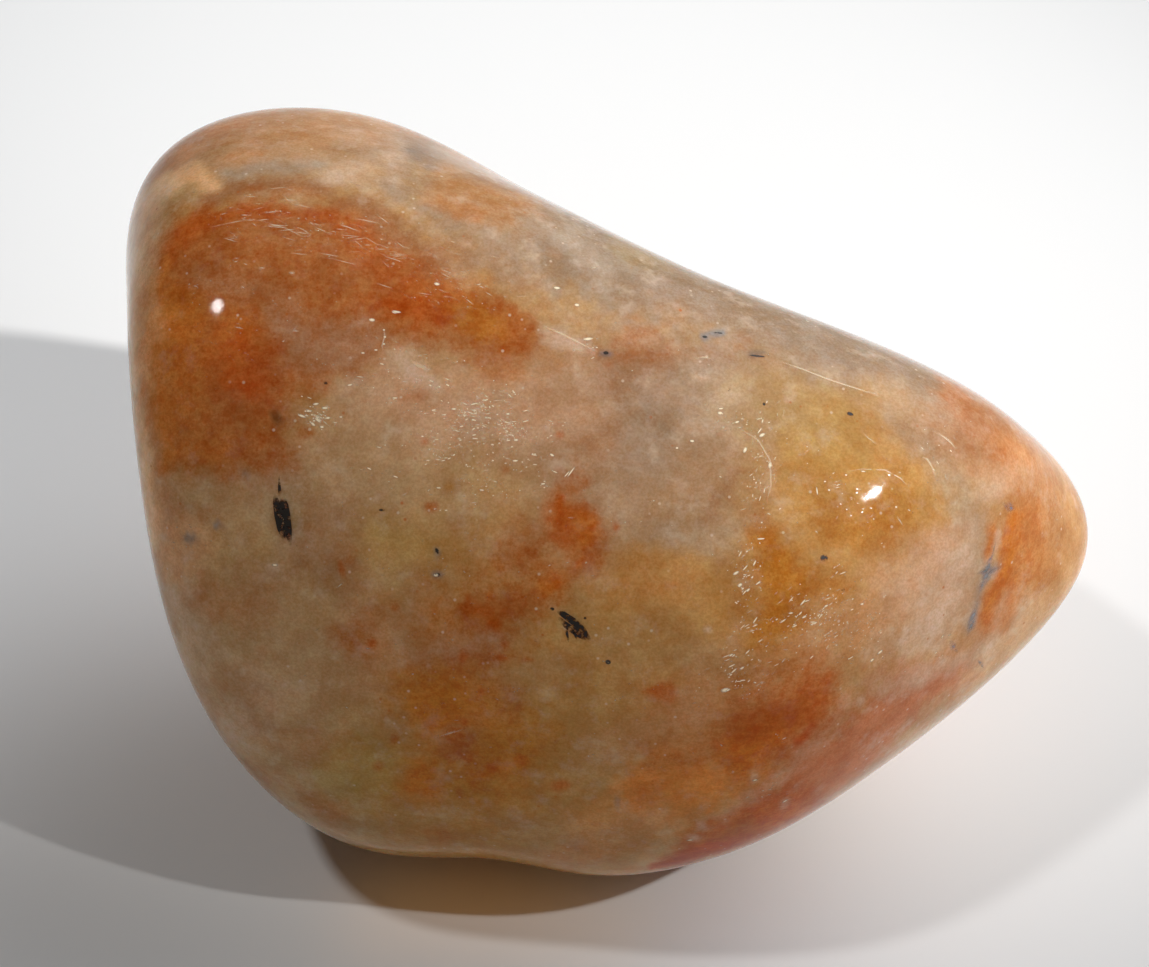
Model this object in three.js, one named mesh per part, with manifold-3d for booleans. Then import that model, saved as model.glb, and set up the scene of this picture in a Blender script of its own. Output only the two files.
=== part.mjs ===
// A tumbled sunstone pebble: one rounded, three-cornered stone that rests on a small flat spot.
// Millimetres, +Z up. The stone stands on z = 0 with its box centred on the Z axis.

import * as THREE from 'three';
import { mergeVertices } from 'three/addons/utils/BufferGeometryUtils.js';
import Module from 'manifold-3d';

// Driving dimensions, in millimetres and degrees

// Each flat, hollow and swell is named as somebody sees it who stands before the stone, on the -Y side,
// and looks down at its heart from this height above level.
const viewHeight = 50;

// How sharply neighbouring flats meet: higher is crisper, lower is rounder.
const crispness = 10;

// The flats that tumbling wore on the stone. clock is the way a flat faces round the seen outline, with 0
// to the right and 90 up, lean is how far it turns towards the viewer, and distance is how far it lies
// from the stone's heart.
const outlineFlats = [
  { name: 'long upper right side', clock: 66, lean: 0, distance: 7.7 },
  { name: 'upper right shoulder', clock: 28, lean: 0, distance: 12.9 },
  { name: 'right tip', clock: 358, lean: 0, distance: 18.1 },
  { name: 'long lower right side', clock: 305, lean: 0, distance: 11.5 },
  { name: 'bottom edge', clock: 273, lean: 0, distance: 11.7 },
  { name: 'lower left shoulder', clock: 235, lean: 0, distance: 13.6 },
  { name: 'lower left side', clock: 197, lean: 0, distance: 13.4 },
  { name: 'upper left side', clock: 169, lean: 0, distance: 14.0 },
  { name: 'upper left corner', clock: 136, lean: 0, distance: 19.5 },
  { name: 'short top side', clock: 97, lean: 0, distance: 13.1 },
];
const frontFlats = [
  { name: 'broad front', clock: 241, lean: 72, distance: 9.9 },
  { name: 'left lobe', clock: 97, lean: 77, distance: 9.5 },
  { name: 'left side where it turns to the front', clock: 187, lean: 35, distance: 18.9 },
  { name: 'strip behind the ridge', clock: 71, lean: 35, distance: 9.7 },
  { name: 'cap of the upper left corner', clock: 109, lean: 38, distance: 13.2 },
  { name: 'right lobe', clock: 58, lean: 70, distance: 9.5 },
  { name: 'right end', clock: 355, lean: 36, distance: 14.3 },
  { name: 'lower right face', clock: 321, lean: 40, distance: 11.4 },
  { name: 'lower front', clock: 262, lean: 45, distance: 10.0 },
];
const hiddenFlats = [
  { name: 'underside', clock: 270, lean: -48, distance: 10.3 },
  { name: 'back', clock: 85, lean: -40, distance: 10.0 },
  { name: 'right of the back', clock: 30, lean: -40, distance: 12.0 },
  { name: 'left of the back', clock: 150, lean: -45, distance: 12.4 },
  { name: 'left of the underside', clock: 205, lean: -40, distance: 12.0 },
  { name: 'right of the underside', clock: 335, lean: -42, distance: 12.0 },
  { name: 'middle of the hidden side', clock: 100, lean: -80, distance: 8.6 },
];

// Soft hollows sink below the flats and soft swells stand above them. width is the angle, seen from the
// heart, at which either has faded to about a third.
const hollows = [
  { name: 'saddle in the long upper right side', clock: 64, lean: 0, depth: 0.75, width: 32 },
  { name: 'shallow bay in the bottom edge', clock: 252, lean: 0, depth: 0.67, width: 14 },
];
const swells = [
  { name: 'left of the upper left corner', clock: 146, lean: 1, height: 1.5, width: 15 },
  { name: 'top of the upper left corner', clock: 120, lean: 0, height: 0.65, width: 11 },
  { name: 'right tip', clock: 358, lean: 0, height: 0.5, width: 10 },
  { name: 'dome of the left lobe', clock: 151, lean: 22, height: 0.75, width: 17 },
];

const restingCut = 0.22; // how deep the resting spot is worn into the lowest point
const cutBlockSize = 60; // wider than the stone
const stepsPerSide = 26; // mesh steps along each side of the cube that is rounded into the stone

const stoneColour = 0xb98d66;
const stoneRoughness = 0.18;

// Directions as the viewer names them
const height = THREE.MathUtils.degToRad(viewHeight);
const viewRight = new THREE.Vector3(1, 0, 0);
const viewUp = new THREE.Vector3(0, Math.sin(height), Math.cos(height));
const towardsViewer = new THREE.Vector3(0, -Math.cos(height), Math.sin(height));

function direction({ clock, lean }) {
  const turn = THREE.MathUtils.degToRad(clock);
  const tilt = THREE.MathUtils.degToRad(lean);
  return new THREE.Vector3()
    .addScaledVector(viewRight, Math.cos(tilt) * Math.cos(turn))
    .addScaledVector(viewUp, Math.cos(tilt) * Math.sin(turn))
    .addScaledVector(towardsViewer, Math.sin(tilt));
}

function withDirection(feature) {
  return { ...feature, facing: direction(feature) };
}

const flats = [...outlineFlats, ...frontFlats, ...hiddenFlats].map(withDirection);
const sinks = hollows.map(withDirection);
const rises = swells.map(withDirection);

// How much of a soft feature is felt in a direction: 1 at its middle, fading away all round
function share(feature, ray) {
  const angle = THREE.MathUtils.radToDeg(ray.angleTo(feature.facing));
  return Math.exp(-((angle / feature.width) ** 2));
}

// Distance from the heart to the surface. The flats together make a polyhedron, and summing their high
// powers rounds its edges and corners.
function surfaceDistance(ray) {
  let sum = 0;
  for (const flat of flats) {
    sum += Math.max(0, ray.dot(flat.facing) / flat.distance) ** crispness;
  }
  let distance = sum ** (-1 / crispness);
  for (const sink of sinks) {
    distance -= sink.depth * share(sink, ray);
  }
  for (const rise of rises) {
    distance += rise.height * share(rise, ray);
  }
  return distance;
}

// A cube's coordinate moved so that its steps subtend equal angles once the cube is rounded
function evenAngle(coordinate) {
  return Math.tan((coordinate * Math.PI) / 4);
}

function bareGeometry(geometry) {
  geometry.deleteAttribute('normal');
  geometry.deleteAttribute('uv');
  return mergeVertices(geometry);
}

// The whole pebble round its heart, before the resting spot is worn
function roundedStone() {
  const geometry = bareGeometry(new THREE.BoxGeometry(2, 2, 2, stepsPerSide, stepsPerSide, stepsPerSide));
  const position = geometry.getAttribute('position');
  const ray = new THREE.Vector3();
  for (let i = 0; i < position.count; i += 1) {
    ray.fromBufferAttribute(position, i);
    ray.set(evenAngle(ray.x), evenAngle(ray.y), evenAngle(ray.z)).normalize();
    ray.multiplyScalar(surfaceDistance(ray));
    position.setXYZ(i, ray.x, ray.y, ray.z);
  }
  return geometry;
}

// A block whose top face is the plane of the resting spot
function blockBelow(level) {
  const block = bareGeometry(new THREE.BoxGeometry(cutBlockSize, cutBlockSize, cutBlockSize));
  block.translate(0, 0, level - cutBlockSize / 2);
  return block;
}

function toSolid(wasm, geometry) {
  const vertProperties = new Float32Array(geometry.getAttribute('position').array);
  const triVerts = new Uint32Array(geometry.getIndex().array);
  return new wasm.Manifold(new wasm.Mesh({ numProp: 3, vertProperties, triVerts }));
}

function toGeometry(solid) {
  const mesh = solid.getMesh();
  const geometry = new THREE.BufferGeometry();
  geometry.setAttribute('position', new THREE.BufferAttribute(mesh.vertProperties, 3));
  geometry.setIndex(new THREE.BufferAttribute(mesh.triVerts, 1));
  return geometry;
}

function wearRestingSpot(wasm, stone) {
  stone.computeBoundingBox();
  const level = stone.boundingBox.min.z + restingCut;
  return toGeometry(toSolid(wasm, stone).subtract(toSolid(wasm, blockBelow(level))));
}

// Stands the stone on z = 0 with the middle of its box over the origin
function setOnOrigin(geometry) {
  geometry.computeBoundingBox();
  const middle = geometry.boundingBox.getCenter(new THREE.Vector3());
  geometry.translate(-middle.x, -middle.y, -geometry.boundingBox.min.z);
  geometry.computeVertexNormals();
}

const wasm = await Module();
wasm.setup();

const stoneGeometry = wearRestingSpot(wasm, roundedStone());
setOnOrigin(stoneGeometry);

const stoneMaterial = new THREE.MeshStandardMaterial({
  color: stoneColour,
  roughness: stoneRoughness,
  metalness: 0,
});

const stone = new THREE.Mesh(stoneGeometry, stoneMaterial);
stone.name = 'stone';

const pebble = new THREE.Group();
pebble.add(stone);

export default pebble;
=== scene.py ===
import math

import bpy
import numpy as np
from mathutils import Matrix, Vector


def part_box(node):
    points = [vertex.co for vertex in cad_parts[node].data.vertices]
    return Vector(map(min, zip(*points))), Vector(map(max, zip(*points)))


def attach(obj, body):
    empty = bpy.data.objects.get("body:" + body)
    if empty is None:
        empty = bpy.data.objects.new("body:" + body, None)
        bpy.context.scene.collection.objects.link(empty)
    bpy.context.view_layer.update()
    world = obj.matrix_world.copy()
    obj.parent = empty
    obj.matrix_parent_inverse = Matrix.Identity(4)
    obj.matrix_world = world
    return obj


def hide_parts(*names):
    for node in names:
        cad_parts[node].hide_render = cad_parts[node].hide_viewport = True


# A tumbled sunstone pebble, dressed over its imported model.
# Its form and markings are worked out in millimetres round the stone's heart, and scaled to metres last.

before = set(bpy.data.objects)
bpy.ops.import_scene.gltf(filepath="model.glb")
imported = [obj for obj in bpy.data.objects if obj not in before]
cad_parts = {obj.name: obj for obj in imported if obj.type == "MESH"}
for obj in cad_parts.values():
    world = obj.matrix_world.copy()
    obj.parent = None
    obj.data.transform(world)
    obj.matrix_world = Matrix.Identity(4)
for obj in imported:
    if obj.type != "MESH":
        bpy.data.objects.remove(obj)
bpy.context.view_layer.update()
scene = bpy.context.scene
scene.view_settings.view_transform = "Standard"
mm = 0.001

# The photograph's view. Places on the seen side are named by its pixels, x to the right and y downwards.
view = {
    "width": 1149, "height": 967,  # pixels
    "pixelsPerMm": 33.5,  # at the depth of the stone's heart
    "heartX": 600, "heartY": 500,  # the pixel that the heart lies behind
    "elevation": 50,  # degrees above level
    "distance": 130,  # from the camera to the plane of the heart
    "sensorWidth": 36,
    "clipStart": 0.005,  # metres
}
tilt = math.radians(view["elevation"])
viewRight = np.array([1, 0, 0])
viewUp = np.array([0, math.sin(tilt), math.cos(tilt)])
towardsViewer = np.array([0, -math.cos(tilt), math.sin(tilt)])
aside = (view["width"] / 2 - view["heartX"]) / view["pixelsPerMm"]
above = (view["heartY"] - view["height"] / 2) / view["pixelsPerMm"]
eye = aside * viewRight + above * viewUp + view["distance"] * towardsViewer


def smoothStep(low, high, value):
    share = np.clip((value - low) / (high - low), 0, 1)
    return share * share * (3 - 2 * share)


# Gradient noise, about -1 to 1, the same at every run. A call's last value is its seed.
latticeSize = 256
noiseGain = 1.6
seedStep = 19.7  # how far apart in the noise two neighbouring seeds lie
random = np.random.default_rng(41)
lattice = random.normal(size=(latticeSize, 3))
lattice /= np.linalg.norm(lattice, axis=1)[:, None]
shuffle = random.permutation(latticeSize)


def noise(points, size, seed):
    cell = points / size + seed * seedStep
    base = np.floor(cell).astype(int)
    part = cell - base
    fade = part**3 * (part * (part * 6 - 15) + 10)
    total = np.zeros(len(points))
    for corner in np.ndindex(2, 2, 2):
        slot = 0
        for key in (base + corner).T:
            slot = shuffle[(slot + key) % latticeSize]
        nearness = np.prod(np.where(corner, fade, 1 - fade), axis=1)
        total += nearness * ((part - corner) * lattice[slot]).sum(1)
    return noiseGain * total


# The form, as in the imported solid: flats as (clock, lean, distance) from the heart
stoneForm = {
    "crispness": 10,
    "flats": [
        (66, 0, 7.7),  # long upper right side
        (28, 0, 12.9),  # upper right shoulder
        (358, 0, 18.1),  # right tip
        (305, 0, 11.5),  # long lower right side
        (273, 0, 11.7),  # bottom edge
        (235, 0, 13.6),  # lower left shoulder
        (197, 0, 13.4),  # lower left side
        (169, 0, 14.0),  # upper left side
        (136, 0, 19.5),  # upper left corner
        (97, 0, 13.1),  # short top side
        (241, 72, 9.9),  # broad front
        (97, 77, 9.5),  # left lobe
        (187, 35, 18.9),  # left side where it turns to the front
        (71, 35, 9.7),  # strip behind the ridge
        (109, 38, 13.2),  # cap of the upper left corner
        (58, 70, 9.5),  # right lobe
        (355, 36, 14.3),  # right end
        (321, 40, 11.4),  # lower right face
        (262, 45, 10.0),  # lower front
        (270, -48, 10.3),  # underside
        (85, -40, 10.0),  # back
        (30, -40, 12.0),  # right of the back
        (150, -45, 12.4),  # left of the back
        (205, -40, 12.0),  # left of the underside
        (335, -42, 12.0),  # right of the underside
        (100, -80, 8.6),  # middle of the hidden side
    ],
    "swells": [  # clock, lean, height, width in degrees; a height below zero is a hollow
        (64, 0, -0.75, 32),  # saddle in the long upper right side
        (252, 0, -0.67, 14),  # shallow bay in the bottom edge
        (146, 1, 1.5, 15),  # left of the upper left corner
        (120, 0, 0.65, 11),  # top of the upper left corner
        (358, 0, 0.5, 10),  # right tip
        (151, 22, 0.75, 17),  # dome of the left lobe
    ],
    "ripples": [(3.1, 0.012), (1.1, 0.003)],  # size and height of the slight waves that tumbling left
    "meanRadius": 10,  # for noises that are asked by direction alone
    "restingCut": 0.22,  # how deep the resting spot is worn into the lowest point
    "meshSteps": 128,  # along each side of the cube that is rounded into the stone
    "frontFocus": 0.6,  # how far the mesh is gathered towards the seen side
}
search = {"reach": 16.0, "halvings": 24}  # for the surface before the plane of the heart


def direction(clock, lean):
    turn, rise = math.radians(clock), math.radians(lean)
    across = math.cos(turn) * viewRight + math.sin(turn) * viewUp
    return math.cos(rise) * across + math.sin(rise) * towardsViewer


def surfaceDistance(rays):
    form = stoneForm
    total = np.zeros(len(rays))
    for clock, lean, distance in form["flats"]:
        total += np.maximum(0, rays @ direction(clock, lean) / distance) ** form["crispness"]
    reach = total ** (-1 / form["crispness"])
    for clock, lean, rise, width in form["swells"]:
        angle = np.degrees(np.arccos(np.clip(rays @ direction(clock, lean), -1, 1)))
        reach += rise * np.exp(-((angle / width) ** 2))
    for size, rise in form["ripples"]:
        reach += rise * noise(rays * form["meanRadius"], size, 3)
    return reach


def unit(vectors):
    return vectors / np.linalg.norm(vectors, axis=-1, keepdims=True)


def onSurface(points):
    rays = unit(points)
    return rays * surfaceDistance(rays)[:, None]


def pixelOf(points):
    depth = points @ towardsViewer
    scale = view["pixelsPerMm"] * view["distance"] / (view["distance"] - depth)
    x = view["width"] / 2 + (points @ viewRight - aside) * scale
    y = view["height"] / 2 - (points @ viewUp - above) * scale
    return x, y, depth


def surfaceUnder(x, y):
    # Walks from the plane of the heart towards the camera, by halving, until it meets the surface
    right = (np.asarray(x, float) - view["heartX"]) / view["pixelsPerMm"]
    up = (view["heartY"] - np.asarray(y, float)) / view["pixelsPerMm"]
    start = right[:, None] * viewRight + up[:, None] * viewUp
    way = unit(eye - start)
    near, far = np.zeros(len(start)), np.full(len(start), search["reach"])
    for _ in range(search["halvings"]):
        middle = (near + far) / 2
        point = start + middle[:, None] * way
        length = np.linalg.norm(point, axis=1)
        inside = length < surfaceDistance(point / length[:, None])
        near, far = np.where(inside, middle, near), np.where(inside, far, middle)
    return start + near[:, None] * way


def roundedCube(steps):
    edge = np.tan(np.linspace(-1, 1, steps + 1) * math.pi / 4)
    first, second = np.meshgrid(edge, edge, indexing="ij")
    one = np.ones_like(first)
    sheets = [
        (first, second, one), (second, first, -one), (one, first, second),
        (-one, second, first), (second, one, first), (first, -one, second),
    ]
    corners = np.concatenate([np.stack(sheet, -1).reshape(-1, 3) for sheet in sheets])
    _, where, back = np.unique(np.round(corners, 6), axis=0, return_index=True, return_inverse=True)
    back = back.reshape(6, steps + 1, steps + 1)
    faces = np.stack([back[:, :-1, :-1], back[:, 1:, :-1], back[:, 1:, 1:], back[:, :-1, 1:]], -1)
    return unit(corners[where]), faces.reshape(-1, 4)


rays, faces = roundedCube(stoneForm["meshSteps"])
points = onSurface(rays + stoneForm["frontFocus"] * towardsViewer)
restingLevel = points[:, 2].min() + stoneForm["restingCut"]
points[:, 2] = np.maximum(points[:, 2], restingLevel)
low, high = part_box("stone")
middle = (points.min(0) + points.max(0)) / 2
heart = np.array([(low.x + high.x) / 2, (low.y + high.y) / 2, low.z])
heart -= np.array([middle[0], middle[1], restingLevel]) * mm
print("form", len(points), "points", (points.max(0) - points.min(0)).round(2), "mm")


def addObject(name, data):
    thing = bpy.data.objects.new(name, data)
    scene.collection.objects.link(thing)
    return thing


def addPiece(name, corners, faceList, material):
    mesh = bpy.data.meshes.new(name)
    mesh.from_pydata((corners * mm + heart).tolist(), [], [list(face) for face in faceList])
    mesh.update()
    mesh.polygons.foreach_set("use_smooth", [True] * len(mesh.polygons))
    mesh.materials.append(material)
    return addObject(name, mesh)


def addValues(piece, name, kind, field, values):
    layer = piece.data.attributes.new(name, kind, "POINT")
    layer.data.foreach_set(field, values.astype(np.float32).ravel())


def addNode(tree, kind, inputs=None, **settings):
    node = tree.nodes.new("ShaderNode" + kind)
    for key, value in settings.items():
        setattr(node, key, value)
    for key, value in (inputs or {}).items():
        if isinstance(value, bpy.types.NodeSocket):
            tree.links.new(value, node.inputs[key])
        else:
            node.inputs[key].default_value = value
    return node


def newMaterial(name, look=None):
    material = bpy.data.materials.new(name)
    material.use_nodes = True
    shader = material.node_tree.nodes["Principled BSDF"]
    if look:
        shader.inputs["Base Color"].default_value = look["colour"]
        shader.inputs["Roughness"].default_value = look["roughness"]
    return material, material.node_tree, shader


def maths(tree, operation, *values, **settings):
    inputs = dict(enumerate(values))
    return addNode(tree, "Math", inputs, operation=operation, **settings).outputs["Value"]


# Colours of the stone, and one pale colour painted as rim light: linear red, green and blue, and how densely
# rusty grains are set in each
palette = {
    # painted light: a pale glow for the lit rim of the stone
    "ivory": (0.98, 0.57, 0.29, 0),
    "pale": (0.66, 0.46, 0.32, 0),
    "cream": (0.60, 0.39, 0.21, 0),
    "milk": (0.43, 0.32, 0.225, 0),
    "dusk": (0.31, 0.22, 0.15, 0),
    "rose": (0.48, 0.295, 0.172, 0.05),
    "pink": (0.63, 0.37, 0.22, 0),
    "sand": (0.54, 0.315, 0.13, 0.1),
    "honey": (0.58, 0.30, 0.09, 0.15),
    "ochre": (0.54, 0.275, 0.07, 0.2),
    "olive": (0.48, 0.33, 0.09, 0),
    "peach": (0.60, 0.29, 0.12, 0.15),
    "tan": (0.46, 0.275, 0.15, 0.1),
    "apricot": (0.46, 0.235, 0.10, 0.3),
    "clay": (0.38, 0.175, 0.075, 0.3),
    "amber": (0.54, 0.205, 0.022, 0.5),
    "flame": (0.56, 0.215, 0.06, 0.4),
    "blaze": (0.80, 0.28, 0.05, 0.4),
    "orange": (0.59, 0.165, 0.012, 0.7),
    "rust": (0.47, 0.145, 0.03, 0.8),
    "brick": (0.52, 0.115, 0.01, 0.9),
    "ember": (0.47, 0.07, 0.003, 1),
    "blush": (0.55, 0.17, 0.065, 0.2),
    "smoke": (0.24, 0.18, 0.14, 0),
    "slate": (0.20, 0.215, 0.23, 0),
    "umber": (0.10, 0.04, 0.012, 0),
}

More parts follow.
